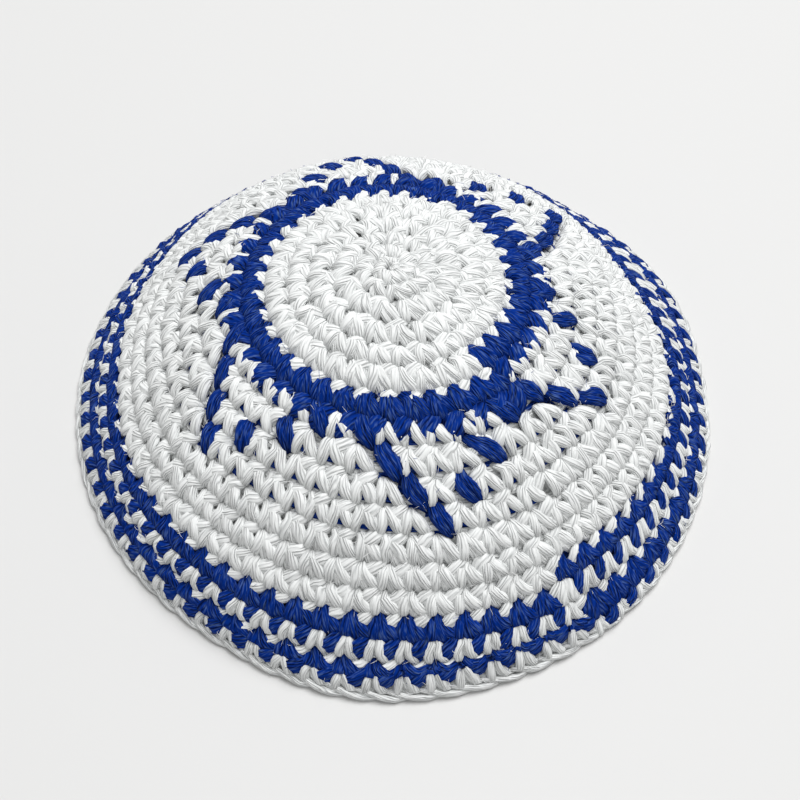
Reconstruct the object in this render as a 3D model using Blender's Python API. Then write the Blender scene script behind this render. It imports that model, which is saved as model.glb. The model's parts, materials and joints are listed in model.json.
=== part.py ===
"""Crocheted skullcap, made in one spiral of rounds from the middle of the crown out to the rim.

Metres, +Z up, origin in the middle of the rim on the surface that the cap stands on. The cap is a
low dome. Its surface is followed by two numbers: the angle round Z, and the distance down the dome
from its top. Each band of rounds is a flat grid that is given its thickness and is then bent into
place by those two numbers, so every band follows the slow spiral of the crochet.
"""
import math

import bmesh
import bpy
import numpy as np
from mathutils import Vector

# Overall size
rim_diameter = 0.170
cap_height = 0.0520
wall = 0.0040
edge_height = 0.0026
edge_width = 0.0052

# How the dome falls from its top to the rim: shares of cap_height that go with the second,
# fourth and sixth power of the distance from the middle
fall_round = 1.03
fall_flank = -0.332
fall_rim = 1.0 - fall_round - fall_flank

# A soft cap is never a true circle: it is a little longer one way, and its top leans off centre
oval = 0.014
oval_turn = math.radians(7.5)
top_lean_x = -0.0013
top_lean_y = -0.0011

# From this share of the way out the wall turns upright, to stand on its rim
upright_from = 0.75

# Each round swells between two shallow hollows
hollow = 0.0008

# Room left between neighbouring bands
gap = 0.0003

# Where one round ends and the next begins, seen from above, counterclockwise from +X
seam = math.radians(-52.0)

# Over this share of a turn at each side of the seam the rim evens out the spiral's step
step_run = 0.10

# The bands from the crown to the rim: how many rounds, how tall each is next to the others,
# how many columns of faces go round it, and its yarn
bands = (
    # name           rounds  tall  columns  yarn
    ("crown_rounds", 4,      1.05, 36,      "white"),
    ("ring_round",   1,      1.12, 48,      "blue"),
    ("star_rounds",  4,      1.14, 48,      "white"),
    ("side_rounds",  3,      1.05, 48,      "white"),
    ("upper_stripe", 1,      1.05, 60,      "blue"),
    ("white_stripe", 1,      1.00, 60,      "white"),
    ("lower_stripe", 1,      0.82, 60,      "blue"),
    ("rim_round",    1,      0.85, 60,      "white"),
)

# The chain ring in the middle that round 1 is worked into, as tall as this next to the rounds
start_ring = 0.30

# The step that the spiral has made by the end of the last round
last_step = 0.75

# The chained edge's section: points over its arch, and how square its shoulders are
edge_columns = 60
edge_points = 7
edge_shoulder = 0.6

yarns = {
    # yarn     colour                       roughness
    "white": ((0.86, 0.87, 0.86, 1.0), 0.85),
    "blue": ((0.010, 0.040, 0.260, 1.0), 0.80),
}

rim_radius = rim_diameter / 2.0


def fall(share):
    """Height of the dome's outer surface, at a share of the way from the middle to the rim."""
    return cap_height * (1.0 - fall_round * share**2 - fall_flank * share**4 - fall_rim * share**6)


# The dome's outer line from the top to the rim, measured along its length
shares = np.linspace(0.0, 1.0, 401)
radii = shares * rim_radius
heights = fall(shares)
lengths = np.concatenate(([0.0], np.cumsum(np.hypot(np.diff(radii), np.diff(heights)))))
slopes = np.arctan2(-np.gradient(heights, shares), rim_radius)

# The bands end where the chained edge begins
band_end = float(np.interp(-edge_height - gap, -heights, lengths))


def spot(down, angle, depth):
    """Point at a distance down the dome, an angle round it and a depth below its outer surface."""
    share = float(np.interp(down, lengths, shares))
    slope = float(np.interp(down, lengths, slopes))
    # the wall stands square to the dome, and upright where it meets the surface below
    upright = max((share - upright_from) / (1.0 - upright_from), 0.0)
    slope += (math.pi / 2.0 - slope) * upright
    radius = share * rim_radius - depth * math.sin(slope)
    height = float(fall(share)) - depth * math.cos(slope)
    return placed(radius, angle, height)


def placed(radius, angle, height):
    """Point of the soft cap: the oval grows towards the rim and the lean towards the top."""
    share = radius / rim_radius
    radius *= 1.0 - oval * share**2 * math.cos(2.0 * (angle - oval_turn))
    lean = height / cap_height
    return Vector((
        radius * math.cos(angle) + top_lean_x * lean,
        radius * math.sin(angle) + top_lean_y * lean,
        height,
    ))


# The spiral, in shares of a turn and in rounds, which count as the same when they are this near
near = step_run / 100.0
round_tops = [start_ring]
for _, rounds, tall, _, _ in bands:
    for _ in range(rounds):
        round_tops.append(round_tops[-1] + tall)
round_total = len(round_tops) - 1
round_tops.append(round_tops[-1] + last_step)


def step_at(turn):
    """Share of the last step that the rim takes up at this share of a turn from the seam."""
    return float(np.interp(turn, (0.0, step_run, 1.0 - step_run, 1.0), (0.5, step_run, 1.0 - step_run, 0.5)))


def down_at(turn, rounds):
    """Distance down the dome at a share of a turn from the seam, after so many rounds."""
    if rounds < 0.0:
        return 0.0
    tops = range(len(round_tops))
    stretch = band_end / (round_tops[round_total] + last_step * step_at(turn))
    if rounds > round_total - 1:
        # the last round closes on the even rim
        part = rounds - (round_total - 1)
        start = stretch * float(np.interp(round_total - 1 + turn, tops, round_tops))
        return start + (band_end - start) * part
    return stretch * float(np.interp(rounds + turn, tops, round_tops))


def yarn_material(yarn):
    colour, roughness = yarns[yarn]
    material = bpy.data.materials.new(yarn + "_cotton")
    material.use_nodes = True
    shader = material.node_tree.nodes["Principled BSDF"]
    shader.inputs["Base Color"].default_value = colour
    shader.inputs["Roughness"].default_value = roughness
    shader.inputs["Metallic"].default_value = 0.0
    material.diffuse_color = colour
    return material


def finish(name, bm, yarn, collection):
    """Makes the object of a band from its bmesh, shaded smooth but for its corners."""
    bmesh.ops.recalc_face_normals(bm, faces=bm.faces)
    if bm.calc_volume(signed=True) < 0.0:
        bmesh.ops.reverse_faces(bm, faces=bm.faces)
    mesh = bpy.data.meshes.new(name)
    bm.to_mesh(mesh)
    bm.free()
    mesh.shade_smooth()
    mesh.set_sharp_from_angle(angle=math.radians(50.0))
    mesh.materials.append(yarn_material(yarn))
    collection.objects.link(bpy.data.objects.new(name, mesh))


def flat_grid(first, last, columns):
    """Grid of a band, laid flat: X is the share of a turn, Y the rounds done, two rows a round."""
    bm = bmesh.new()
    bmesh.ops.create_grid(bm, x_segments=columns, y_segments=2 * (last - first), size=0.5)
    bmesh.ops.translate(bm, verts=bm.verts, vec=(0.5, 0.5, 0.0))
    bmesh.ops.scale(bm, verts=bm.verts, vec=(1.0, last - first, 1.0))
    bmesh.ops.translate(bm, verts=bm.verts, vec=(0.0, first, 0.0))
    return bm


def close_crown(bm, last):
    """Joins the flat crown to itself at the seam, each round to the next, and fills its middle."""
    for vert in bm.verts:
        if vert.co.x > 1.0 - near and vert.co.y < last - 1 + near:
            vert.co.x = 0.0
            vert.co.y += 1.0
    bmesh.ops.remove_doubles(bm, verts=bm.verts, dist=near)
    rim = []
    for edge in bm.edges:
        in_start = all(v.co.y < near or (v.co.x < near and v.co.y < 1 + near) for v in edge.verts)
        if edge.is_boundary and in_start:
            rim.append(edge)
    middle = bmesh.ops.contextual_create(bm, geom=rim)["faces"]
    centre = bmesh.ops.poke(bm, faces=middle)["verts"][0]
    # before the first round there is only the top of the dome
    centre.co = (0.0, -start_ring, 0.0)


def make_band(name, first, rounds, columns, yarn, collection):
    """One band of rounds as a wall of even thickness with a swelling for each round."""
    last = first + rounds
    bm = flat_grid(first, last, columns)
    if first == 0:
        close_crown(bm, last)
    inside = bmesh.ops.extrude_face_region(bm, geom=bm.faces[:])["geom"]
    bmesh.ops.translate(bm, verts=[g for g in inside if isinstance(g, bmesh.types.BMVert)], vec=(0, 0, 1))
    for vert in bm.verts:
        turn, done, inward = vert.co
        down = down_at(turn, done)
        angle = seam + math.tau * turn
        if first > 0 and done < first + near:
            down += gap
        if first > 0 and turn < near:
            # the band's first end keeps clear of the end of the round before it
            angle += gap / (rim_radius * float(np.interp(down, lengths, shares)))
        swell = abs(math.sin(math.pi * max(done, 0.0)))
        depth = wall if inward > 0.5 else hollow * (1.0 - swell)
        vert.co = spot(down, angle, depth)
    finish(name, bm, yarn, collection)


def make_edge(collection):
    """The chained edge: a D section with its flat side down, spun round and made oval."""
    bm = bmesh.new()
    middle = rim_radius - edge_width / 2.0
    ring = []
    for i in range(edge_points):
        turn = math.pi * i / (edge_points - 1)
        across = middle + edge_width / 2.0 * math.cos(turn)
        rise = max(math.sin(turn), 0.0) ** edge_shoulder
        ring.append(bm.verts.new((across, 0.0, edge_height * rise)))
    loop = [bm.edges.new((ring[i - 1], ring[i])) for i in range(edge_points)]
    bmesh.ops.spin(bm, geom=ring + loop, cent=(0, 0, 0), axis=(0, 0, 1), angle=math.tau,
                   steps=edge_columns, use_merge=True)
    bmesh.ops.remove_doubles(bm, verts=bm.verts, dist=0.00001)
    for vert in bm.verts:
        angle = math.atan2(vert.co.y, vert.co.x)
        vert.co = placed(math.hypot(vert.co.x, vert.co.y), angle, vert.co.z)
    finish("edge_chain", bm, "white", collection)


def main():
    for old in list(bpy.data.objects):
        bpy.data.objects.remove(old, do_unlink=True)
    collection = bpy.data.collections.new("skullcap")
    bpy.context.scene.collection.children.link(collection)
    first = 0
    for name, rounds, _, columns, yarn in bands:
        make_band(name, first, rounds, columns, yarn, collection)
        first += rounds
    make_edge(collection)


main()
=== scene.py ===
# %% [markdown]
# # A crocheted skullcap, stitch by stitch
# A crocheted cap is one yarn that climbs round in a spiral. Each stitch is a short loop with two legs
# in front, a slanted loop on top, and bars behind. A smooth dome with a bump texture could stand for
# it from far away. Here every stretch of yarn is real geometry, because a stripe of crochet gets its
# saw-toothed edges from legs of one colour that come out between the loops of another.

import json
import math

import bmesh
import bpy
import numpy as np
from mathutils import Matrix, Vector

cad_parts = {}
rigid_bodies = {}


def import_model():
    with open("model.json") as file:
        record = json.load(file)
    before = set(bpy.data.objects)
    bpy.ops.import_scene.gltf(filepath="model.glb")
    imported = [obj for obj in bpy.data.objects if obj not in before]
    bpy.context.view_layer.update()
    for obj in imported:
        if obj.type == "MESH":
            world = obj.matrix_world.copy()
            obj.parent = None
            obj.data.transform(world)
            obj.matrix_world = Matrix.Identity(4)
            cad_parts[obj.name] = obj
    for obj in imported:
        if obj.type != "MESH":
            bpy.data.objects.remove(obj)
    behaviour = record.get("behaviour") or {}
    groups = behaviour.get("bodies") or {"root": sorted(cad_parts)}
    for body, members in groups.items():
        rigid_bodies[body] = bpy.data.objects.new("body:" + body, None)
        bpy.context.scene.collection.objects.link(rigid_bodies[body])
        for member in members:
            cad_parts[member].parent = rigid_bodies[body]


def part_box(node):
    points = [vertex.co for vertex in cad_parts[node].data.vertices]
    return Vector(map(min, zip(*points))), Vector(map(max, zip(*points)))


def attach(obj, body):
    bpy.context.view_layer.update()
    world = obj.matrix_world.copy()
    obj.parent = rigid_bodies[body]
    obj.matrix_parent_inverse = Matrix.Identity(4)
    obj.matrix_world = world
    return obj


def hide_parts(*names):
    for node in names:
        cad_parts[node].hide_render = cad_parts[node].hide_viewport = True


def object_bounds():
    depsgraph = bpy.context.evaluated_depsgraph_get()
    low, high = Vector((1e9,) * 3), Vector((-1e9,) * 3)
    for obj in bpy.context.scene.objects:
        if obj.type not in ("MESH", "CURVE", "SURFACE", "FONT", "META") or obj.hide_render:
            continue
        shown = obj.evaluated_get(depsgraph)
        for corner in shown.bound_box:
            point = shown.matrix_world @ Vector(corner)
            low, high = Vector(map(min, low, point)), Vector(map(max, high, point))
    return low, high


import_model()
cad_low, cad_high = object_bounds()
print("solids from", [round(c, 4) for c in cad_low], "to", [round(c, 4) for c in cad_high])

# %% [markdown]
# ## The dome that the stitches lie on
# The solids say how wide, how oval and how tall the cap is. The curve between the top and the rim is a
# sum of three powers of the distance from the middle, which is enough for a soft cap that sags a
# little at its flank. A point of the cap is then found from three numbers: how far down the dome it
# lies, its angle round the cap, and its depth under the outer surface.

# %% The dome
edge_low, edge_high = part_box("edge_chain")
half_across = (edge_high.x - edge_low.x) / 2.0
half_along = (edge_high.y - edge_low.y) / 2.0
rim_radius = (half_across + half_along) / 2.0
oval = (half_along - half_across) / (half_along + half_across)
oval_turn = math.radians(7.5)
# the crown's solid is hollowed by this much in its middle
crown_dip = 0.0002
dome_height = cad_high.z + crown_dip
top_lean = np.array((-0.0013, -0.0011))
# shares of the fall that go with the second, fourth and sixth power
fall_round = 1.03
fall_flank = -0.332
fall_rim = 1.0 - fall_round - fall_flank


def fall(share):
    """Height of the dome at a share of the way from its middle to its rim."""
    return dome_height * (1.0 - fall_round * share**2 - fall_flank * share**4 - fall_rim * share**6)


shares = np.linspace(0.0, 1.0, 801)
heights = fall(shares)
run = np.hypot(np.diff(shares * rim_radius), np.diff(heights))
downs = np.concatenate(([0.0], np.cumsum(run)))
slopes = np.arctan2(-np.gradient(heights, shares), rim_radius)
# from this share of the way out the wall turns upright
upright_from = 0.75
print("rim radius", round(rim_radius, 4), "oval", round(oval, 4), "dome length", round(downs[-1], 4))

# %% [markdown]
# ## How this cap slumps
# No formula tells how soft cloth stands on a table, so two small tables of millimetres do. They say
# where the back bulges and where the wall leans out or is drawn in, and were filled in bit by bit by
# laying the outline over the real one.

# %% Away from the even dome
mm = 0.001
# the middle of the crochet lies a little off the top of the dome
slide = np.array((-0.0013, 0.0010))
# and the shift is whole up to one distance down the dome and gone at another
slide_full, slide_gone = 0.030, 0.055
# the back bulges up: shares of the dome's length, and millimetres up there
bulge_at = (0.33, 0.44, 0.56, 0.62, 0.70, 0.78, 0.88, 1.0)
bulge_up = (0.0, 0.5, 1.1, 1.0, 0.3, -0.4, -0.2, 0.0)
bulge_turn = math.radians(95.0)
# and the wall leans out or is drawn in, in millimetres: a column for each 30 degrees round the cap
# and a row for each share of the dome's length
lean_angles = (-180.0, -150.0, -120.0, -90.0, -60.0, -30.0, 0.0, 30.0, 60.0, 90.0, 120.0, 150.0)
lean_rows = (0.33, 0.56, 0.70, 0.80, 0.90, 1.0)
lean_out = (
    (0.0,) * 12,
    (0.2, 0.1, 0.0, 0.0, 0.0, 0.0, 0.2, 0.5, 0.7, 0.7, 0.8, 0.5),
    (0.0, 0.0, 0.0, 0.0, 0.0, 0.0, 0.2, 0.9, 0.0, -1.5, -0.6, 0.0),
    (-0.3, -0.1, 0.0, 0.0, 0.0, 0.0, 0.1, 1.3, -0.4, -3.3, -1.6, -0.8),
    (-0.5, -0.1, 0.0, 0.0, 0.0, 0.0, -0.2, 2.0, -0.6, -4.8, -2.7, -1.2),
    (-0.3, -0.5, -1.4, 1.4, 0.2, 0.2, 0.6, 3.2, 0.2, -4.6, -2.5, -1.0),
)
print("leans out by up to", max(map(max, lean_out)), "mm and in by up to", -min(map(min, lean_out)), "mm")


# %% From three numbers to a point
def slope_at(down):
    """Slope of the wall: square to the dome, and upright where it stands on the floor."""
    share = np.interp(down, downs, shares)
    upright = np.clip((share - upright_from) / (1.0 - upright_from), 0.0, 1.0)
    slope = np.interp(down, downs, slopes)
    return slope + (math.pi / 2.0 - slope) * upright


def outward(down, angle):
    """Direction that the outer surface faces."""
    slope = slope_at(down)
    return np.stack((np.sin(slope) * np.cos(angle), np.sin(slope) * np.sin(angle), np.cos(slope)), -1)


def table_at(degrees, columns, place, rows, table):
    """Value of a table between its columns, which close a circle, and between its rows."""
    column = (degrees - columns[0]) % 360.0 / (columns[1] - columns[0])
    left = np.floor(column).astype(int)
    part = column - left
    # eased, so that the cap has no corners at the columns
    part = part * part * (3.0 - 2.0 * part)
    table = np.array(table)
    right = (left + 1) % len(columns)
    left = left % len(columns)
    row = np.interp(place, rows, np.arange(len(rows)))
    above = np.minimum(row.astype(int), len(rows) - 2)
    below = row - above
    at_left = table[above, left] * (1.0 - below) + table[above + 1, left] * below
    at_right = table[above, right] * (1.0 - below) + table[above + 1, right] * below
    return at_left * (1.0 - part) + at_right * part


def spot(down, angle, depth):
    """Points at distances down the dome, at angles round it and at depths under its surface."""
    share = np.interp(down, downs, shares)
    slope = slope_at(down)
    radius = share * rim_radius - depth * np.sin(slope)
    height = fall(share) - depth * np.cos(slope)
    slid = np.interp(down, (slide_full, slide_gone), (1.0, 0.0))
    x = radius * np.cos(angle) + slide[0] * slid
    y = radius * np.sin(angle) + slide[1] * slid
    moved = np.hypot(x, y)
    height = height + fall(moved / rim_radius) - fall(radius / rim_radius)
    # whole at the back, gone in front
    at_back = (0.5 + 0.5 * np.cos(angle - bulge_turn)) ** 2
    far = down / downs[-1]
    out = table_at(np.degrees(angle), lean_angles, far, lean_rows, lean_out) * mm
    x = x + out * np.cos(angle)
    y = y + out * np.sin(angle)
    height = height + np.interp(far, bulge_at, bulge_up) * at_back * mm
    longer = 1.0 - oval * (moved / rim_radius) ** 2 * np.cos(2.0 * (np.arctan2(y, x) - oval_turn))
    lean = height / dome_height
    return np.stack((x * longer + top_lean[0] * lean, y * longer + top_lean[1] * lean, height), -1)


print("the middle of the crochet is at", spot(0.0, 0.0, 0.0).round(4))

# %% [markdown]
# ## The spiral and its stitches
# A hook works round by round without stopping, so the end of one round lies one row further out than
# its start. A stitch has a place on that spiral: the rounds done before it, and the share of a turn
# since the seam. Near the middle a round has five to eight stitches more than the one before it, which
# keeps the circle nearly flat. Further out the rounds grow by fewer, the last ones by none, and the
# circle bends down into a dome. The counts are those of the real cap where they show, so they aren't
# quite even.

# %% Rounds and stitch counts
seam = math.radians(-52.0)
# the hole in the middle, in rounds
first_hole = 0.14
# where each round starts at the seam, counted in rounds of even height from the middle
round_tops = (-0.65, 0.15, 0.95, 1.73, 2.77, 3.85, 4.72, 5.88, 6.90, 7.98, 9.08, 10.18, 11.23, 12.28,
              13.33, 14.38, 15.38, 16.20, 17.05)
round_stitches = (6, 8, 13, 20, 28, 35, 40, 44, 48, 56, 62, 66, 70, 71, 73, 73, 73, 73)
# by how much of a stitch each round is shifted forwards, reached at half a turn
round_shift = (0.0, 0.0, 0.0, 0.0, 0.3, 0.62, 0.62, 0.17, -0.40, -0.17, 0.57, 0.04, 0.52, 0.22, 0.0,
               -0.10, -0.10, -0.10)
round_total = len(round_stitches)
print("rounds", round_total, "with", sum(round_stitches), "stitches")

# %% [markdown]
# ## Where the rounds hang low
# The spiral too is uneven. The outer rounds hang lower on one side, and a table says where they sag or
# ride up. At its end the last round has to close on the even rim, so the rounds there press together.

# %% The spiral down the dome
# the outer rounds hang lower on one side than on the other, by this much of a round
sway_rounds = (0.0, 9.0, 11.0, 13.0, 15.0, 16.0, 17.0, 18.0, 19.0)
sway = (0.0, 0.0, 0.10, 0.20, 0.30, 0.60, 0.75, 0.12, 0.0)
sway_turn = math.radians(-70.0)
# and here and there they sag or ride up: degrees round the cap, and by how much of a round
sag_angles = lean_angles
# the rows of this table are places that many rounds along the spiral, half a turn after the seam
sag_from = 0.5
sag_rounds = (6.5, 8.0, 11.0, 14.0, 16.0, 17.0, 17.8)
sag = (
    (0.0,) * 12,
    (0.25, 0.15, 0.0, 0.0, 0.0, 0.0, 0.0, 0.35, 0.45, 0.4, 0.75, 0.5),
    (0.25, 0.15, 0.0, 0.0, 0.0, 0.0, 0.0, 0.35, 0.45, 0.3, 0.6, 0.5),
    (0.05, 0.4, 0.15, 0.1, 0.1, 0.3, 0.4, -1.4, -1.2, -0.5, -0.4, -0.6),
    (-0.1, 0.0, -0.05, -0.05, 0.0, 0.1, 0.1, -0.5, -0.4, -0.2, -0.4, -0.7),
    (-0.1, 0.0, 0.05, 0.25, 0.1, 0.0, 0.0, -0.1, -0.1, -0.1, -0.2, -0.4),
    (0.0,) * 12,
)
# where the last round ends, the round above it is pressed up to leave it room
end_rows = (16.9, 17.5, 18.0, 18.7)
end_press = (0.0, 0.25, 0.4, 0.0)
end_run = (0.88, 0.96, 0.985, 1.0)
# the spiral's step at the end of the last round, and the share of a turn that evens it out there
last_step = 0.75
step_run = 0.10
round_tops = np.append(round_tops, round_tops[-1] + last_step)
edge_height = edge_high.z
band_end = float(np.interp(-edge_height, -heights, downs))
floor_gap = 0.0001
# the last round comes down to this height, and hides the top of the edge
rim_low = 0.0013
rim_end = float(np.interp(-rim_low, -heights, downs))


def down_at(turns, done):
    """Distance down the dome at shares of a turn from the seam, after so many rounds."""
    share = turns % 1.0
    hang = np.interp(done + turns, sway_rounds, sway)
    angle = seam + math.tau * turns
    sagged = table_at(np.degrees(angle), sag_angles, done + turns - sag_from, sag_rounds, sag)
    at_end = np.interp(share, end_run, (0.0, 1.0, 1.0, 0.0))
    pressed = np.interp(done + turns, end_rows, end_press) * at_end
    done = done + hang * np.cos(angle - sway_turn) + sagged - pressed
    step = np.interp(share, (0.0, step_run, 1.0 - step_run, 1.0), (0.5, step_run, 1.0 - step_run, 0.5))
    stretch = band_end / (round_tops[round_total] + last_step * step)
    tops = np.arange(len(round_tops))
    down = stretch * np.interp(done + turns, tops, round_tops)
    # the last round closes on the even rim
    last = round_total - 1
    start = stretch * np.interp(last + turns, tops, round_tops)
    closing = start + (rim_end - start) * (done - last)
    down = np.where(done > last, closing, down)
    # the first round grows out of the starting ring on all its sides
    first = stretch * (first_hole + (np.interp(1.0 + turns, tops, round_tops) - first_hole) * done)
    return np.where(done < 1.0, first, down)


print("the last round ends", round(rim_end / mm, 1), "mm down the dome")

# %% [markdown]
# ## The chart of the star
# Charts like this one are how such patterns are passed on. The stitches of a round are first spread
# evenly and then drawn a little towards the marks, so that a blue one lies at each mark.

# %% The star's chart
# the star's chart: for each ray its two stitches beside the ring, one stitch in each further
# round, and the two loose dots, as (round of the star, degrees round the cap)
first_star = 7
rays = (
    ((0, -111.0), (0, -96.0), (1, -88.0), (2, -81.5), (3, -76.0), (2, -68.5), (1, -58.5)),
    ((1, -51.5), (1, -36.0), (2, -29.0), (3, -22.0), (2, -13.0), (1, -3.5)),
    ((0, 5.0), (0, 27.0), (1, 33.0), (2, 39.0), (3, 44.0), (2, 54.0), (1, 64.0)),
    ((0, 75.0), (0, 88.0), (1, 94.5), (2, 100.0), (3, 105.0), (2, 112.5), (1, 120.0)),
    ((0, 127.0), (0, 141.5), (1, 149.5), (2, 156.0), (3, 163.0), (2, 168.5), (1, 179.5)),
    ((0, 188.0), (0, 203.0), (1, 211.0), (2, 217.0), (3, 222.0), (2, 229.5), (1, 239.5)),
)
# two stitches worked into one loop stand this share of a stitch to each side of it
side_by_side = 0.2
# the visible middle of a slanted stitch lies this much of a stitch ahead of its place
bead_middle = 0.18


def charted(n):
    """Shares of a turn of the blue stitches that the chart puts in this round."""
    marks = [degrees for ray in rays for row, degrees in ray if first_star + row == n]
    return (np.radians(sorted(marks)) - seam) / math.tau % 1.0


def nearest(turns, marks):
    """Index of the turn that is nearest to each mark, round the circle."""
    return np.array([np.argmin(np.abs((turns - mark + 0.5) % 1.0 - 0.5)) for mark in marks], dtype=int)


def drawn_to_chart(turns, marks):
    """Shifts a round's stitches a little, so that its charted ones lie at their marks."""
    if len(marks) == 0:
        return turns
    middles = turns + bead_middle / len(turns)
    off = (marks - middles[nearest(middles, marks)] + 0.5) % 1.0 - 0.5
    return turns + np.interp(middles, marks, off, period=1.0)


print("marks in the chart", sum(len(ray) for ray in rays))


# %% All the stitches
class Stitches:
    """Places of all the stitches: their round, their share of a turn, and their parent's."""

    def __init__(self):
        rounds, turns = [], []
        for n, count in enumerate(round_stitches):
            slot = np.arange(count) + 0.5
            shift = np.interp(slot / count, (0.0, 0.5), (round_shift[max(n - 1, 0)], round_shift[n]))
            rounds.append(np.full(count, n))
            turns.append(drawn_to_chart((slot + shift) / count, charted(n)))
        self.round = np.concatenate(rounds)
        self.turn = np.concatenate(turns)
        self.pitch = 1.0 / np.array(round_stitches)[self.round]
        self.along = self.round + self.turn
        # the parent is the stitch nearest to this place one turn earlier on the spiral
        earlier = self.along - 1.0
        after = np.clip(np.searchsorted(self.along, earlier), 1, len(earlier) - 1)
        closer = earlier - self.along[after - 1] < self.along[after] - earlier
        parent = np.where(closer, after - 1, after)
        shared = np.bincount(parent, minlength=len(parent))[parent] > 1
        apart = np.where(shared, np.sign(earlier - self.along[parent]) * side_by_side, 0.0)
        held = self.along[parent] + apart * self.pitch[parent] + 1.0 - self.round
        self.parent = np.where(self.round == 0, self.turn, held)


stitches = Stitches()
print("stitches", len(stitches.turn))

# %% [markdown]
# ## Which yarn each stitch is worked in
# The colour changes at a few places along the spiral: a blue ring round the crown, then two blue
# stripes near the rim. In between, six rays of blue stitches run outwards. Each ray steps one stitch
# forward a round, and loose blue stitches follow it. One ray turned to six places would be shorter to
# write, but in a cap made by hand no ray is quite like the next, so each has its own row in the chart.

# %% Colour runs and the star chart
runs = (
    # piece            turns from the start  yarn     stands for
    ("crown_yarn",     0.0,                  "white", "crown_rounds"),
    ("ring_yarn",      6.015,                "blue",  "ring_round"),
    ("star_yarn",      7.036,                "white", "star_rounds"),
    ("side_yarn",      11.0,                 "white", "side_rounds"),
    ("upper_yarn",     13.984,               "blue",  "upper_stripe"),
    ("middle_yarn",    14.993,               "white", "white_stripe"),
    ("lower_yarn",     16.002,               "blue",  "lower_stripe"),
    ("rim_yarn",       17.0,                 "white", "rim_round"),
)
run_starts = np.array([row[1] for row in runs])
stitch_run = np.searchsorted(run_starts, stitches.along, side="right") - 1
stitch_blue = np.array([row[2] == "blue" for row in runs])[stitch_run]
star_run = 2
star_deep = 4

for n in range(first_star, first_star + star_deep):
    here = np.flatnonzero(stitches.round == n)
    middles = stitches.turn[here] + bead_middle * stitches.pitch[here]
    stitch_blue[here[nearest(middles, charted(n))]] = True
in_star = (stitches.round >= first_star) & (stitches.round < first_star + star_deep)
print("blue stitches in the star", int((stitch_blue & in_star).sum()))

# %% [markdown]
# ## One stretch of yarn
# All the yarn in the cap is laid in short stretches, and each stretch is a bent and tapered tube. One
# straight tube is modelled: a circle that is extruded ring by ring and capped. Its X and Y say where a
# point lies round the yarn and its Z how far along. A copy of it for each stretch is then bent along
# that stretch's path, all the copies at once as arrays. A curve object with a bevel would also do,
# but hundreds of curves are slow, and they can't be flattened where the yarn is pressed.

# %% The straight tube
tiny = 1e-6


class Tube:
    """A straight tube of unit length and radius, with the faces and the UVs that its copies share."""

    def __init__(self, sides, steps, lobe=0.0):
        bm = bmesh.new()
        made = bmesh.ops.create_circle(bm, segments=sides, radius=1.0, cap_ends=True)
        end = bm.faces[:]
        for _ in range(steps):
            grown = bmesh.ops.extrude_face_region(bm, geom=end)["geom"]
            moved = [g for g in grown if isinstance(g, bmesh.types.BMVert)]
            bmesh.ops.translate(bm, verts=moved, vec=(0.0, 0.0, 1.0 / steps))
            old = end
            end = [g for g in grown if isinstance(g, bmesh.types.BMFace)]
            if old[0].is_valid and abs(old[0].calc_center_median().z) > tiny:
                bmesh.ops.delete(bm, geom=old, context="FACES_ONLY")
        bmesh.ops.recalc_face_normals(bm, faces=bm.faces)
        bm.verts.index_update()
        self.points = np.array([v.co[:] for v in bm.verts])
        # every other corner stands out, which gives half as many thick plies as there are sides
        corner = np.round(np.arctan2(self.points[:, 1], self.points[:, 0]) / math.tau * sides)
        self.points[:, :2] *= (1.0 + lobe * np.cos(math.pi * corner))[:, None]
        # sorted, so that the faces come in the same order each time
        self.faces = sorted([v.index for v in f.verts] for f in bm.faces)
        self.sizes = np.array([len(f) for f in self.faces])
        self.corners = np.concatenate([np.array(f) for f in self.faces])
        around = (np.arctan2(self.points[:, 1], self.points[:, 0]) / math.tau) % 1.0
        uvs = []
        for face in self.faces:
            turn = around[face]
            if len(face) == 4 and turn.max() - turn.min() > 0.5:
                turn = np.where(turn < 0.5, turn + 1.0, turn)
            uvs.append(np.stack((turn, self.points[face, 2]), -1))
        self.uvs = np.concatenate(uvs)
        bm.free()


leg_tube = Tube(sides=12, steps=7, lobe=0.07)
loop_tube = Tube(sides=12, steps=6, lobe=0.07)
back_tube = Tube(sides=6, steps=4)
print("faces of a leg", len(leg_tube.faces), "of a loop", len(loop_tube.faces))


# %% [markdown]
# ## Laying the stretches
# A path is a few points that a smooth curve runs through. Its frame is the direction of travel, the
# direction that the cap faces there, and the one square to both. The yarn is fat in the middle of a
# stretch and thin where it dives under the next, so its size follows a curve that swells and fades.

# %% Curves along the yarn
def smooth(points, at):
    """Curve through a row of points, at shares of its length, for many paths at once."""
    count = points.shape[1]
    place = np.clip(at * (count - 1), 0.0, count - 1 - tiny)
    cell = place.astype(int)
    part = (place - cell)[None, :, None]
    before = points[:, np.maximum(cell - 1, 0)]
    a = points[:, cell]
    b = points[:, cell + 1]
    after = points[:, np.minimum(cell + 2, count - 1)]
    return 0.5 * (2 * a + (b - before) * part + (2 * before - 5 * a + 4 * b - after) * part**2
                  + (3 * a - before - 3 * b + after) * part**3)


def unit(vectors):
    """The same directions, one long."""
    return vectors / np.linalg.norm(vectors, axis=-1, keepdims=True)


def full_at(along):
    """How full the yarn is at shares of a stretch: 1 over most of it, and 0 at its ends."""
    return np.sin(math.pi * along) ** 0.6


# %% [markdown]
# ## Many stretches, one mesh
# A yarn collects its stretches as arrays of points, faces, UVs and levels of light, and builds one mesh
# from them at the end. The UVs run round the yarn and along it, for the plies to follow.

# %% Collect the stretches
# V counts centimetres along the yarn, from a place of its own for each stretch
uv_per_metre = 100.0
uv_apart = 10.0


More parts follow.
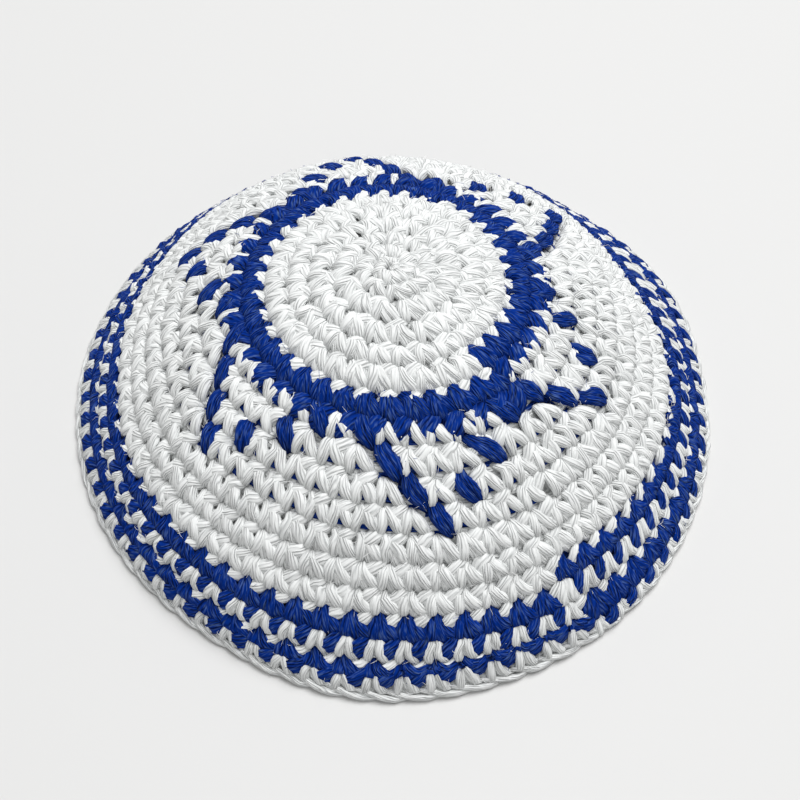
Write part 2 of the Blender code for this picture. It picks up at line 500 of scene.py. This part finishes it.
class Yarn:
    """Stretches of yarn that are collected and then joined into one mesh."""

    def __init__(self, painted_end_shade):
        self.points, self.corners, self.sizes, self.uvs, self.tints = [], [], [], [], []
        self.count = 0
        # painted shade: the yarn's colour is darkened by this share towards the ends of a stretch, where it
        # dives under the next
        self.painted_end_shade = painted_end_shade

    def lay(self, tube, path, half_width, half_height, tint, thin=0.45, seed=0):
        """Adds copies of a tube along paths: distance down, angle and depth at each path point."""
        many = path.shape[0]
        if many == 0:
            return
        along = np.unique(tube.points[:, 2].round(6))
        line = smooth(path, along)
        centre = spot(line[..., 0], line[..., 1], line[..., 2])
        facing = outward(line[..., 0], line[..., 1])
        ahead = unit(np.gradient(centre, axis=1))
        across = unit(np.cross(ahead, facing))
        up = np.cross(across, ahead)
        swell = thin + (1.0 - thin) * full_at(along)
        ring = np.searchsorted(along, tube.points[:, 2].round(6))
        x = tube.points[:, 0][None, :, None] * half_width[:, None, None] * swell[ring][None, :, None]
        y = tube.points[:, 1][None, :, None] * half_height[:, None, None] * swell[ring][None, :, None]
        laid = (centre[:, ring] + across[:, ring] * x + up[:, ring] * y).reshape(-1, 3)
        # the floor presses the yarn flat
        laid[:, 2] = np.maximum(laid[:, 2], floor_gap)
        self.points.append(laid)
        base = self.count + np.arange(many)[:, None] * len(tube.points)
        self.corners.append((base + tube.corners[None]).ravel())
        self.sizes.append(np.tile(tube.sizes, many))
        length = np.linalg.norm(np.diff(centre, axis=1), axis=-1).sum(1)
        chance = np.random.default_rng(seed)
        uvs = np.repeat(tube.uvs[None], many, 0)
        uvs[..., 0] += chance.random(many)[:, None]
        uvs[..., 1] = uvs[..., 1] * length[:, None] * uv_per_metre + uv_apart * chance.random(many)[:, None]
        self.uvs.append(uvs.reshape(-1, 2))
        # painted shade, darker towards the ends of the stretch
        ends = 1.0 - self.painted_end_shade * (1.0 - full_at(along))
        self.tints.append((tint[:, None] * ends[ring][None]).ravel())
        self.count += many * len(tube.points)

    def build(self, name, material):
        """Makes the mesh object of all the stretches laid so far."""
        points = np.concatenate(self.points).astype(np.float32)
        corners = np.concatenate(self.corners).astype(np.int32)
        sizes = np.concatenate(self.sizes).astype(np.int32)
        mesh = bpy.data.meshes.new(name)
        mesh.vertices.add(len(points))
        mesh.vertices.foreach_set("co", points.ravel())
        mesh.loops.add(len(corners))
        mesh.loops.foreach_set("vertex_index", corners)
        mesh.polygons.add(len(sizes))
        mesh.polygons.foreach_set("loop_start", np.concatenate(([0], np.cumsum(sizes)[:-1])).astype(np.int32))
        mesh.update(calc_edges=True)
        layer = mesh.uv_layers.new(name="UVMap")
        layer.data.foreach_set("uv", np.concatenate(self.uvs).astype(np.float32).ravel())
        tint = mesh.attributes.new("tint", "FLOAT", "POINT")
        tint.data.foreach_set("value", np.concatenate(self.tints).astype(np.float32))
        mesh.validate()
        mesh.shade_smooth()
        mesh.materials.append(material)
        piece = bpy.data.objects.new(name, mesh)
        bpy.context.scene.collection.objects.link(piece)
        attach(piece, "root")
        print(name, "has", len(sizes), "faces")
        return piece


# %% [markdown]
# ## Yarn materials
# Cotton yarn is a bundle of fine plies that lie nearly side by side. In the render a ply is about two
# pixels wide, so plies are left to the shader: a row of round ridges round the tube, twisted a little
# along it, that lifts a bump and darkens the grooves with painted shade. Both yarns use it, so it is a
# node group.

# %% Short ways to add nodes
def socket(tree, name, kind, way, value=None):
    """Adds an input or an output to a node group."""
    made = tree.interface.new_socket(name=name, in_out=way, socket_type=kind)
    if value is not None:
        made.default_value = value
    return made


def maths(tree, operation, a, b=None):
    """Adds a Math node whose inputs are sockets or numbers, and gives its output."""
    node = tree.nodes.new("ShaderNodeMath")
    node.operation = operation
    for slot, value in zip(node.inputs, (a, b)):
        if value is None:
            continue
        if isinstance(value, (int, float)):
            slot.default_value = value
        else:
            tree.links.new(value, slot)
    return node.outputs[0]


def streaks(tree, uv, across, along, detail):
    """Noise that is drawn out along the yarn: so many cells across it and so many per centimetre."""
    stretch = tree.nodes.new("ShaderNodeVectorMath")
    stretch.operation = "MULTIPLY"
    stretch.inputs[1].default_value = (across, along, 1.0)
    tree.links.new(uv, stretch.inputs[0])
    noise = tree.nodes.new("ShaderNodeTexNoise")
    noise.inputs["Scale"].default_value = 1.0
    noise.inputs["Detail"].default_value = detail
    tree.links.new(stretch.outputs[0], noise.inputs["Vector"])
    return noise.outputs[0]


# %% The ply group
def make_ply_group():
    """The group that gives the plies' ridges and the finer streaks of their fibres."""
    tree = bpy.data.node_groups.new("Plied yarn", "ShaderNodeTree")
    socket(tree, "Plies", "NodeSocketFloat", "INPUT", 12.0)
    socket(tree, "Twist", "NodeSocketFloat", "INPUT", 0.22)
    socket(tree, "Wander", "NodeSocketFloat", "INPUT", 2.4)
    socket(tree, "Ridge", "NodeSocketFloat", "OUTPUT")
    socket(tree, "Fibre", "NodeSocketFloat", "OUTPUT")
    inside = tree.nodes.new("NodeGroupInput")
    outside = tree.nodes.new("NodeGroupOutput")
    uv = tree.nodes.new("ShaderNodeUVMap")
    uv.uv_map = "UVMap"
    parts = tree.nodes.new("ShaderNodeSeparateXYZ")
    tree.links.new(uv.outputs["UV"], parts.inputs[0])
    # the plies drift from side to side, so that some come together and some part
    drift = maths(tree, "SUBTRACT", streaks(tree, uv.outputs["UV"], across=6.0, along=1.6, detail=1.0), 0.5)
    drift = maths(tree, "MULTIPLY", drift, inside.outputs["Wander"])
    twist = maths(tree, "MULTIPLY", parts.outputs["Y"], inside.outputs["Twist"])
    turn = maths(tree, "MULTIPLY", maths(tree, "ADD", parts.outputs["X"], twist), inside.outputs["Plies"])
    ridge = maths(tree, "SINE", maths(tree, "MULTIPLY", maths(tree, "ADD", turn, drift), math.pi))
    ridge = maths(tree, "ABSOLUTE", ridge)
    # a groove is deep in one place and closed in another
    depth = tree.nodes.new("ShaderNodeMapRange")
    for name, value in (("From Min", 0.36), ("From Max", 0.60), ("To Min", 0.35), ("To Max", 1.0)):
        depth.inputs[name].default_value = value
    patches = streaks(tree, uv.outputs["UV"], across=9.0, along=2.2, detail=0.0)
    tree.links.new(patches, depth.inputs["Value"])
    groove = maths(tree, "MULTIPLY", maths(tree, "SUBTRACT", 1.0, ridge), depth.outputs["Result"])
    tree.links.new(maths(tree, "SUBTRACT", 1.0, groove), outside.inputs["Ridge"])
    fibre = streaks(tree, uv.outputs["UV"], across=30.0, along=4.0, detail=2.0)
    tree.links.new(fibre, outside.inputs["Fibre"])
    return tree


ply_group = make_ply_group()
print("the ply group has", len(ply_group.nodes), "nodes")

# %% [markdown]
# ## White cotton and blue cotton
# The white yarn is bright, with soft grey painted shade in its grooves and a little sheen. The blue one
# has nearly black painted shade in its grooves and a paler painted highlight where single fibres catch
# the light, and gets more of these highlights. Each stitch has a slightly different level of light, kept
# with the mesh, as no two stitches are pulled equally tight. The mesh also keeps painted shade at the
# ends of stretches and on the bars behind.

# %% The two cotton yarns
def mix_colours(tree, factor, a, b, blend="MIX"):
    """Adds a colour Mix node whose inputs are sockets or colours, and gives its output."""
    node = tree.nodes.new("ShaderNodeMix")
    node.data_type = "RGBA"
    node.blend_type = blend
    for name, value in (("Factor", factor), ("A", a), ("B", b)):
        if isinstance(value, (tuple, float)):
            node.inputs[name].default_value = value
        else:
            tree.links.new(value, node.inputs[name])
    return node.outputs["Result"]


def cotton(name, light, groove, stray, highlight_share, streak, sheen, ridge_height):
    """Cotton of one colour: light on its plies, painted shade in the grooves, and a painted highlight on
    fibres.
    """
    material = bpy.data.materials.new(name)
    material.use_nodes = True
    tree = material.node_tree
    shader = tree.nodes["Principled BSDF"]
    shader.inputs["Roughness"].default_value = 0.85
    shader.inputs["Sheen Weight"].default_value = sheen
    shader.inputs["Sheen Roughness"].default_value = 0.5
    shader.inputs["Specular IOR Level"].default_value = 0.05
    plies = tree.nodes.new("ShaderNodeGroup")
    plies.node_tree = ply_group
    # painted shade: the grooves between the plies get the darker groove colour
    colour = mix_colours(tree, plies.outputs["Ridge"], groove, light)
    # painted highlight: where the fibre streaks are high the colour turns to the paler stray colour, as where
    # fibres catch the light
    highlight_mask = tree.nodes.new("ShaderNodeMapRange")
    for key, value in (("From Min", 0.5), ("From Max", 0.8), ("To Min", 0.0), ("To Max", highlight_share)):
        highlight_mask.inputs[key].default_value = value
    tree.links.new(plies.outputs["Fibre"], highlight_mask.inputs["Value"])
    colour = mix_colours(tree, highlight_mask.outputs["Result"], colour, stray)
    # the tint holds each stitch's own level of light, times the painted shade at the ends of stretches and on
    # the bars behind
    tint = tree.nodes.new("ShaderNodeAttribute")
    tint.attribute_name = "tint"
    fibre = maths(tree, "MULTIPLY", maths(tree, "SUBTRACT", plies.outputs["Fibre"], 0.5), streak)
    level = maths(tree, "ADD", tint.outputs["Fac"], fibre)
    colour = mix_colours(tree, 1.0, colour, level, "MULTIPLY")
    tree.links.new(colour, shader.inputs["Base Color"])
    relief = maths(tree, "ADD", plies.outputs["Ridge"], maths(tree, "MULTIPLY", plies.outputs["Fibre"], 0.5))
    bump = tree.nodes.new("ShaderNodeBump")
    bump.inputs["Strength"].default_value = 1.0
    bump.inputs["Distance"].default_value = ridge_height
    tree.links.new(relief, bump.inputs["Height"])
    tree.links.new(bump.outputs["Normal"], shader.inputs["Normal"])
    return material


ply_height = 0.0002
# groove: painted shade between the plies; stray: a painted highlight where fibres catch the light
white_cotton = cotton("white_cotton", light=(0.88, 0.895, 0.89, 1.0), groove=(0.58, 0.60, 0.60, 1.0),
                      stray=(0.92, 0.93, 0.925, 1.0), highlight_share=0.5, streak=0.4, sheen=0.15,
                      ridge_height=ply_height)
blue_cotton = cotton("blue_cotton", light=(0.001, 0.030, 0.26, 1.0), groove=(0.0, 0.001, 0.020, 1.0),
                     stray=(0.11, 0.19, 0.42, 1.0), highlight_share=0.9, streak=0.25, sheen=0.0,
                     ridge_height=ply_height)
print("materials", white_cotton.name, blue_cotton.name)

# %% [markdown]
# ## The shape of one stitch
# With the crown up, a single crochet shows an upside-down V: a short straight leg and a longer one
# that slants forwards. Both come out from under the row above and dive under this row's own chain. The
# front of that chain shows as a slanted loop between two stitches of the next row. Points are given in
# shares of the stitch: forwards, down, and the depth of the yarn's middle in millimetres.

# %% Paths of a stitch
left_leg = ((0.22, 0.06, 2.6), (0.2, 0.26, 1.35), (0.2, 0.56, 0.9), (0.2, 0.86, 1.2), (0.22, 1.1, 2.5))
right_leg = ((0.33, 0.06, 2.6), (0.46, 0.28, 1.35), (0.7, 0.56, 1.0), (0.93, 0.82, 1.25), (1.09, 1.0, 2.5))
white_loop = ((0.4, 1.66, 2.9), (0.58, 1.5, 1.8), (0.8, 1.26, 1.3), (1.02, 1.06, 1.6), (1.2, 0.9, 2.6))
blue_loop = ((0.38, 1.92, 2.9), (0.58, 1.74, 1.45), (0.82, 1.4, 0.85), (1.04, 1.08, 1.2), (1.22, 0.86, 2.6))
# behind them the chain's back and two bars close the fabric
back_loop = ((-0.3, 1.0, 3.0), (0.2, 1.05, 2.9), (0.75, 1.05, 2.9), (1.3, 0.99, 3.0))
inner_bar = ((-0.3, 0.44, 3.0), (0.2, 0.55, 3.1), (0.75, 0.55, 3.1), (1.3, 0.44, 3.0))
upper_bar = ((-0.3, 0.18, 2.9), (0.2, 0.16, 2.8), (0.75, 0.16, 2.8), (1.3, 0.18, 2.9))
# the yarn that isn't in use is carried along inside the star's rounds
star_core = ((0.0, 0.76, 2.55), (0.35, 0.74, 2.5), (0.7, 0.74, 2.5), (1.02, 0.76, 2.55))
# a third strand fills the space between the legs, plump and near the surface in the blue runs
core = ((0.22, 0.2, 2.3), (0.38, 0.48, 1.55), (0.54, 0.78, 1.5), (0.72, 1.1, 2.2))
blue_core = ((0.26, 0.02, 2.4), (0.38, 0.3, 1.0), (0.52, 0.72, 0.9), (0.68, 1.16, 2.0))
# a white stitch under a blue one starts higher, over the edge of the blue
tall_left = ((0.24, -0.16, 2.5), (0.18, 0.06, 1.15), (0.15, 0.44, 0.8), (0.15, 0.8, 1.1), (0.17, 1.04, 2.5))
tall_right = ((0.33, -0.16, 2.5), (0.4, 0.06, 1.15), (0.52, 0.44, 0.85), (0.68, 0.78, 1.1), (0.82, 1.0, 2.5))
# in a ray the first leg lies along the second one, and the two make one fat slanted bead
ray_left = ((0.1, -0.14, 2.3), (0.2, 0.18, 1.1), (0.44, 0.52, 0.8), (0.76, 0.88, 0.95), (1.02, 1.18, 2.2))
ray_right = ((0.26, -0.18, 2.3), (0.48, 0.12, 1.1), (0.78, 0.42, 0.8), (1.02, 0.74, 1.0), (1.18, 1.1, 2.2))
# beside a bead the white yarn fills the rest of the stitch
ray_fill = ((0.92, 0.0, 2.7), (1.02, 0.3, 2.0), (1.12, 0.66, 1.9), (1.2, 1.02, 2.6))
print("points in the path of a leg", len(left_leg), "of a bar", len(inner_bar))

# %% [markdown]
# ## How tight and how fat
# The same paths serve the whole cap, and each stitch only bends them a little. Where the crochet is
# loose the legs stand apart, and where it is tight they are pressed wide and touch. The plump blue
# stripes squeeze the white rounds between them. Small random strays keep the stitches from looking
# stamped, and they are drawn from fixed seeds, so that the cap comes out the same each time.

# %% Sizes of the stitches
# where the yarn is worked loosely the legs stand wider apart at the top, and where not they are fat
loose_rounds = {7: 0.6, 8: 0.6, 9: 0.5, 10: 0.5, 11: 0.2}
left_spread, right_spread = 0.13, 0.09
looseness = np.array([loose_rounds.get(int(n), 0.0) for n in stitches.round])
# between these degrees round the cap, at the back, the stitches are tight
tight_from, tight_to = 20.0, 175.0
degrees_round = (math.degrees(seam) + 360.0 * stitches.turn) % 360.0
tight = (degrees_round > tight_from) & (degrees_round < tight_to)
looseness = np.where(tight, 0.0, looseness)
left_fat = np.where(looseness > 0.0, 1.32, 1.48)
right_fat = np.where(looseness > 0.0, 1.42, 1.48)
# a blue stripe is plump and its white neighbours are squeezed
stripe_rounds = {14: 1.2, 15: 0.85, 16: 1.5, 17: 0.78}
stripe_fat = np.array([stripe_rounds.get(int(n), 1.0) for n in stitches.round])
# the few stitches round the middle are small
small = np.interp(stitches.round, (0, 3), (0.75, 1.0))
# the loops at the end of the lower stripe are short, since the last round is low there
short = np.where(stitches.round == 16, np.interp(stitches.turn, (0.85, 1.0), (1.0, 0.3)), 1.0)
# this far down a stitch its legs have reached its own place beside its neighbours
own_from = 0.3
# the paths' shares forwards are counted so that this one falls on the stitch's place
stitch_middle = 0.45
# each point of a path strays a little: in shares of the stitch, and in millimetres of depth
path_stray, depth_stray = 0.022, 0.08
# half the yarn's width and height in millimetres: legs, a ray's legs, and the loops of each colour
leg_high = 1.15
ray_wide = 1.35
loop_wide, loop_high = {"white": 1.75, "blue": 2.45}, 1.2
backs = (
    # path      wide  high
    (back_loop, 1.7,  0.9),
    (inner_bar, 2.8,  0.7),
    (upper_bar, 1.8,  0.85),
)
# painted shade: the bars lie in the dark, so their colour is darkened a little
painted_back_shade = 0.92
core_high, core_fat, blue_core_fat = 0.95, 1.35, 1.9
# the light on a stitch and its size differ from one to the next
stitch_light, light_stray, core_light = 0.97, 0.02, 0.95
size_stray = 0.05
# how thick each part's ends are, next to its middle
leg_ends, loop_ends, back_ends = 0.4, 0.5, 0.8
print("loose stitches", int((looseness > 0.0).sum()), "at the tight back", int(tight.sum()))

# %% [markdown]
# ## Laying a stitch
# A stitch is two legs, the chain's loop in front and three strands behind. Its legs start at the
# stitch that it is worked into, one round nearer the crown, and move over to its own place as they come
# down. This slant is what makes the rounds of a hand-worked spiral lean.

# %% Lay the parts of a stitch
def stitch_path(pick, points, spread, seed, own_place=False):
    """Paths of one part of the picked stitches, as distance down, angle and depth."""
    chance = np.random.default_rng(seed)
    many = len(pick)
    table = np.array(points)
    forwards = table[None, :, 0] + chance.normal(0.0, path_stray, (many, len(points)))
    forwards = forwards + spread * looseness[pick][:, None] * np.clip(1.0 - table[None, :, 1], 0.0, 1.0)
    done = table[None, :, 1] + chance.normal(0.0, path_stray, (many, len(points)))
    done = np.where(done > 1.0, 1.0 + (done - 1.0) * short[pick][:, None], done)
    depth = (table[None, :, 2] + chance.normal(0.0, depth_stray, (many, len(points)))) * mm
    own = np.clip(done / own_from, 0.0, 1.0)
    own = 1.0 if own_place else own * own * (3.0 - 2.0 * own)
    turn = stitches.parent[pick][:, None] * (1.0 - own) + stitches.turn[pick][:, None] * own
    turn = turn + (forwards - stitch_middle) * stitches.pitch[pick][:, None]
    rounds = stitches.round[pick][:, None] + done
    return np.stack((down_at(turn, rounds), seam + math.tau * turn, depth), -1)


def lay_stitches(yarn, pick, colour, seed, legs=(left_leg, right_leg), ray=False, loops=True):
    """Lays all the parts of the picked stitches."""
    chance = np.random.default_rng(seed)
    tint = chance.normal(stitch_light, light_stray, len(pick))
    size = chance.normal(1.0, size_stray, len(pick)) * small[pick] * mm
    wide = (ray_wide, ray_wide) if ray else (left_fat[pick], right_fat[pick])
    for i, (points, spread) in enumerate(zip(legs, (left_spread, right_spread)), 1):
        path = stitch_path(pick, points, spread, seed + i)
        half_width = wide[i - 1] * stripe_fat[pick] * size
        yarn.lay(leg_tube, path, half_width, leg_high * size, tint, leg_ends, seed + i)
    if loops:
        path = stitch_path(pick, blue_loop if colour == "blue" else white_loop, 0.0, seed + 3)
        yarn.lay(loop_tube, path, loop_wide[colour] * size, loop_high * size, tint, loop_ends, seed + 3)
    for i, (points, back_wide, back_high) in enumerate(backs, 4):
        path = stitch_path(pick, points, 0.0, seed + i, True)
        half_width, half_height = back_wide * size, back_high * size
        yarn.lay(back_tube, path, half_width, half_height, tint * painted_back_shade, back_ends, seed + i)


def lay_core(yarn, pick, seed, path=core):
    """Lays the yarn that runs hidden through the picked stitches."""
    size = np.full(len(pick), core_high * mm)
    tint = np.full(len(pick), core_light)
    tube, fat = (leg_tube, blue_core_fat) if path is blue_core else (back_tube, core_fat)
    yarn.lay(tube, stitch_path(pick, path, 0.0, seed), fat * size, size, tint, 1.0, seed)


# the ring in the middle: its stretches and the share of a turn that each one covers, then in
# millimetres how far down the dome and how deep it lies, and half its width
first_parts, first_turn = 3, 0.42
first_down, first_depth, first_wide = 1.0, 3.0, 1.2
first_flat, first_light = 0.7, 0.9
first_seed = 60


def lay_first_loop(yarn):
    """Lays the small ring of yarn that the first stitches are worked into."""
    turn = np.arange(first_parts)[:, None] / first_parts + np.linspace(0.0, first_turn, 5)[None]
    down = np.full(turn.shape, first_down * mm)
    path = np.stack((down, math.tau * turn, np.full(turn.shape, first_depth * mm)), -1)
    size = np.full(first_parts, first_wide * mm)
    tint = np.full(first_parts, first_light)
    yarn.lay(loop_tube, path, size, first_flat * size, tint, 1.0, first_seed)


# %% [markdown]
# ## The rounds
# Each run of one colour becomes one joined mesh that stands for one solid, so the cap can still be
# taken apart into its rounds. The rays of the star are a mesh of their own: their solid is the star's
# wall, and only their yarn differs. While a ray is worked the white yarn runs hidden behind the blue
# stitches, and between the rays the blue yarn runs behind the white ones and peeps out.

# %% Lay the rounds
cottons = {"white": white_cotton, "blue": blue_cotton}
# painted shade: by this share the colour is darkened at the ends of a stretch, where it dives under the next
painted_end_shade = {"white": 0.08, "blue": 0.6}
seeds_a_run = 1000
ray_seeds = 9000
star_blue = np.flatnonzero(stitch_blue & in_star & (stitch_run == star_run))
for number, (name, _, colour, node) in enumerate(runs):
    pick = np.flatnonzero(stitch_run == number)
    yarn = Yarn(painted_end_shade[colour])
    seed = seeds_a_run * number
    if node == "crown_rounds":
        lay_first_loop(yarn)
    if node == "star_rounds":
        plain = np.setdiff1d(pick, star_blue)
        lay_stitches(yarn, plain, colour, seed)
        lay_core(yarn, star_blue, seed + 7, star_core)
        # tight stitches hide the carried yarn
        lay_core(yarn, plain[tight[plain]], seed + 8, star_core)
        lay_core(yarn, star_blue, seed + 9, ray_fill)
    else:
        under_blue = node in ("white_stripe", "rim_round")
        legs = (tall_left, tall_right) if under_blue else (left_leg, right_leg)
        # the chain on the last round is the edge itself
        lay_stitches(yarn, pick, colour, seed, legs, loops=node != "rim_round")
        lay_core(yarn, pick, seed + 7, blue_core if colour == "blue" else core)
    piece = yarn.build(name, cottons[colour])
    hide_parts(node)

yarn = Yarn(painted_end_shade["blue"])
star_white = np.setdiff1d(np.flatnonzero(stitch_run == star_run), star_blue)
lay_stitches(yarn, star_blue, "blue", ray_seeds, (ray_left, ray_right), ray=True, loops=False)
lay_core(yarn, star_white[~tight[star_white]], ray_seeds + 7, star_core)
piece = yarn.build("star_rays", blue_cotton)

# %% [markdown]
# ## Stray fibres
# Cotton yarn sheds: short fibres stand off it and soften the outline of the cap. Hair curves could do
# this in a render, but only meshes are kept in the file, so each fibre is a thin three-sided tube that
# leaves the yarn, bends and comes partly back.

# %% Fibres that stand off the yarn
fibre_tube = Tube(sides=3, steps=3)
fibres_a_stitch = 3
fibre_reach = 1.4 * mm
fibre_width = 0.05 * mm
fibre_short, fibre_long = 0.8, 2.2
fibre_bend = 0.4
# points of a fibre: the share of its length, and how far it stands off there, next to its reach
fibre_points = ((0.0, -0.9), (0.35, 0.35), (0.7, 1.0), (1.0, 0.7))
# this deep under the dome lies the yarn's surface, in millimetres
yarn_top = 0.45
# fibres start a little clear of the next round, and near the middle they don't wind round it
fibre_rows, fibre_last = 1.1, 0.95
middle_radius = 4.0 * mm
fibre_seed = 500


def lay_fibres(yarn, pick, seed):
    """Lays a few stray fibres over each of the picked stitches."""
    chance = np.random.default_rng(seed)
    pick = np.repeat(pick, fibres_a_stitch)
    many = len(pick)
    turn = stitches.turn[pick] + chance.random(many) * stitches.pitch[pick]
    done = stitches.round[pick] + np.minimum(chance.random(many) * fibre_rows, fibre_last)
    down = down_at(turn, done)
    angle = seam + math.tau * turn
    away = chance.random(many) * math.tau
    length = chance.uniform(fibre_short, fibre_long, many) * mm
    reach = chance.random(many) ** 2 * fibre_reach
    radius = np.maximum(np.interp(down, downs, shares) * rim_radius, middle_radius)
    points = []
    for share, high in fibre_points:
        bend = share * length * (1.0 + fibre_bend * chance.normal(0.0, 1.0, many))
        depth = yarn_top * mm - reach * high if high > 0.0 else np.full(many, -high * mm)
        points.append(np.stack((np.clip(down + bend * np.sin(away), 0.0, band_end),
                                angle + bend * np.cos(away) / radius, depth), -1))
    size = np.full(many, fibre_width)
    yarn.lay(fibre_tube, np.stack(points, 1), size, size, np.ones(many), 0.5, seed)


def fibre_material(name, colour):
    """A stray fibre is lit through, so it is paler than its yarn and has no grooves."""
    material = bpy.data.materials.new(name)
    material.use_nodes = True
    shader = material.node_tree.nodes["Principled BSDF"]
    shader.inputs["Base Color"].default_value = colour
    shader.inputs["Roughness"].default_value = 0.7
    shader.inputs["Specular IOR Level"].default_value = 0.1
    return material


fibre_colours = {"white": (0.95, 0.95, 0.95, 1.0), "blue": (0.02, 0.06, 0.30, 1.0)}
for colour, pick in (("white", np.flatnonzero(~stitch_blue)), ("blue", np.flatnonzero(stitch_blue))):
    yarn = Yarn(0.0)
    lay_fibres(yarn, pick, fibre_seed)
    piece = yarn.build(colour + "_fibres", fibre_material(colour + "_fibre", fibre_colours[colour]))

# %% [markdown]
# ## The chained edge
# The last round's chain has nothing worked into it, so it shows whole: a braid of long loops that lie
# along the rim, each one slipping under the next. The cap rests on it.

# %% The edge braid
edge_loops = round_stitches[-1]
edge_out = ((-0.35, 2.0, 1.5), (0.15, 1.7, 0.8), (0.6, 1.25, 0.55), (1.05, 0.85, 0.7), (1.5, 0.75, 1.5))
edge_in = ((-0.15, 0.95, 3.0), (0.3, 1.1, 2.2), (0.7, 1.35, 1.9), (1.1, 1.5, 2.3), (1.35, 1.45, 3.0))
edge_base = ((-0.1, 0.95, 2.9), (0.3, 0.95, 2.8), (0.7, 0.95, 2.8), (1.1, 0.95, 2.9))
# how far the loops stray: shares of a turn, and millimetres of height and depth
turn_stray, height_stray, in_stray = 0.0006, 0.05, 0.06
edge_seed = 70
edge_parts = (
    # tube      path       wide  high  ends
    (leg_tube,  edge_out,  0.85, 0.75, 0.7),
    (leg_tube,  edge_in,   0.85, 0.85, 0.5),
    (back_tube, edge_base, 0.92, 0.92, 1.0),
)


def edge_path(points, seed):
    """Paths of the edge's loops from shares forwards, heights and depths in millimetres."""
    chance = np.random.default_rng(seed)
    table = np.array(points)
    turn = (np.arange(edge_loops)[:, None] + table[None, :, 0]) / edge_loops
    turn = turn + chance.normal(0.0, turn_stray, turn.shape)
    height = (table[None, :, 1] + chance.normal(0.0, height_stray, turn.shape)) * mm
    depth = (table[None, :, 2] + chance.normal(0.0, in_stray, turn.shape)) * mm
    down = np.interp(-height, -heights, downs)
    return np.stack((down, seam + math.tau * turn, depth), -1)


yarn = Yarn(painted_end_shade["white"])
size = np.random.default_rng(edge_seed).normal(1.0, size_stray, edge_loops) * mm
tint = np.random.default_rng(edge_seed + 1).normal(stitch_light, light_stray, edge_loops)
for seed, (tube, points, wide, high, ends) in enumerate(edge_parts, edge_seed + 2):
    yarn.lay(tube, edge_path(points, seed), wide * size, high * size, tint, ends, seed)
piece = yarn.build("edge_braid", white_cotton)
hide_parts("edge_chain")

# %% [markdown]
# ## The floor
# The cap stands on a plain pale surface: one matt face, far wider than the picture. Light that falls
# on it beside the cap comes back up, which keeps the underside of the rim from going black.

# %% Floor
floor_half = 3.0
floor_grey = (0.66, 0.66, 0.655, 1.0)
floor_bm = bmesh.new()
bmesh.ops.create_grid(floor_bm, x_segments=1, y_segments=1, size=floor_half)
floor_mesh = bpy.data.meshes.new("floor")
floor_bm.to_mesh(floor_mesh)
floor_bm.free()
floor = bpy.data.objects.new("floor", floor_mesh)
bpy.context.scene.collection.objects.link(floor)
floor_paint = bpy.data.materials.new("pale_floor")
floor_paint.use_nodes = True
floor_shader = floor_paint.node_tree.nodes["Principled BSDF"]
floor_shader.inputs["Base Color"].default_value = floor_grey
floor_shader.inputs["Roughness"].default_value = 0.6
floor_mesh.materials.append(floor_paint)
print("floor", 2 * floor_half, "m wide")

# %% [markdown]
# ## Light
# Wide soft light falls from above, a little from the right and behind, and leaves a thin shadow under
# the front of the rim. A weak light in front and the even light of the room open up the shadows.

# %% Light
# the even light of the room, as a strength of white
room_light = 0.38
world = bpy.data.worlds.new("soft_room")
world.use_nodes = True
world.node_tree.nodes["Background"].inputs["Color"].default_value = (1.0, 1.0, 1.0, 1.0)
world.node_tree.nodes["Background"].inputs["Strength"].default_value = room_light
bpy.context.scene.world = world
bpy.context.scene.view_settings.view_transform = "Standard"


def soft_light(name, place, size, watts):
    """Adds a round lamp that faces the cap."""
    lamp = bpy.data.lights.new(name, "AREA")
    lamp.shape = "DISK"
    lamp.size = size
    lamp.energy = watts
    holder = bpy.data.objects.new(name, lamp)
    holder.location = place
    holder.rotation_euler = (-Vector(place)).to_track_quat("-Z", "Y").to_euler()
    bpy.context.scene.collection.objects.link(holder)
    print(name, watts, "W")


soft_light("overhead_light", place=(0.36, 0.875, 2.5), size=2.0, watts=72.0)
soft_light("front_fill", place=(0.2, -1.8, 1.6), size=1.6, watts=3.5)

# %% [markdown]
# ## The camera
# The camera looks down on the cap from in front. The angle that it looks down at, its roll, its
# distance, the point it is aimed at and its focal length were fitted together to the outline of the
# cap and to the edges of its stripes. With a longer lens from further off the rounds in front and
# those at the back would look more alike.

# %% Camera
camera_rise = math.radians(54.83)
camera_roll = math.radians(3.8)
camera_far = 0.3478
aim_right, aim_up = 0.00182, -0.00169
# the side of the picture and the focal length, both in pixels
picture, focal_pixels = 800, 1306.9
back = Vector((0.0, -math.cos(camera_rise), math.sin(camera_rise)))
level_right = Vector((1.0, 0.0, 0.0))
level_up = back.cross(level_right)
right = level_right * math.cos(camera_roll) + level_up * math.sin(camera_roll)
up = level_up * math.cos(camera_roll) - level_right * math.sin(camera_roll)
aim = level_right * aim_right + level_up * aim_up
camera_data = bpy.data.cameras.new("camera")
camera_data.sensor_width = 36.0
camera_data.lens = camera_data.sensor_width * focal_pixels / picture
camera_data.clip_start = 0.01
camera = bpy.data.objects.new("camera", camera_data)
turned = Matrix((right, up, back)).transposed().to_4x4()
camera.matrix_world = Matrix.Translation(aim + back * camera_far) @ turned
bpy.context.scene.collection.objects.link(camera)
bpy.context.scene.camera = camera
print("camera at", [round(c, 3) for c in camera.matrix_world.translation])
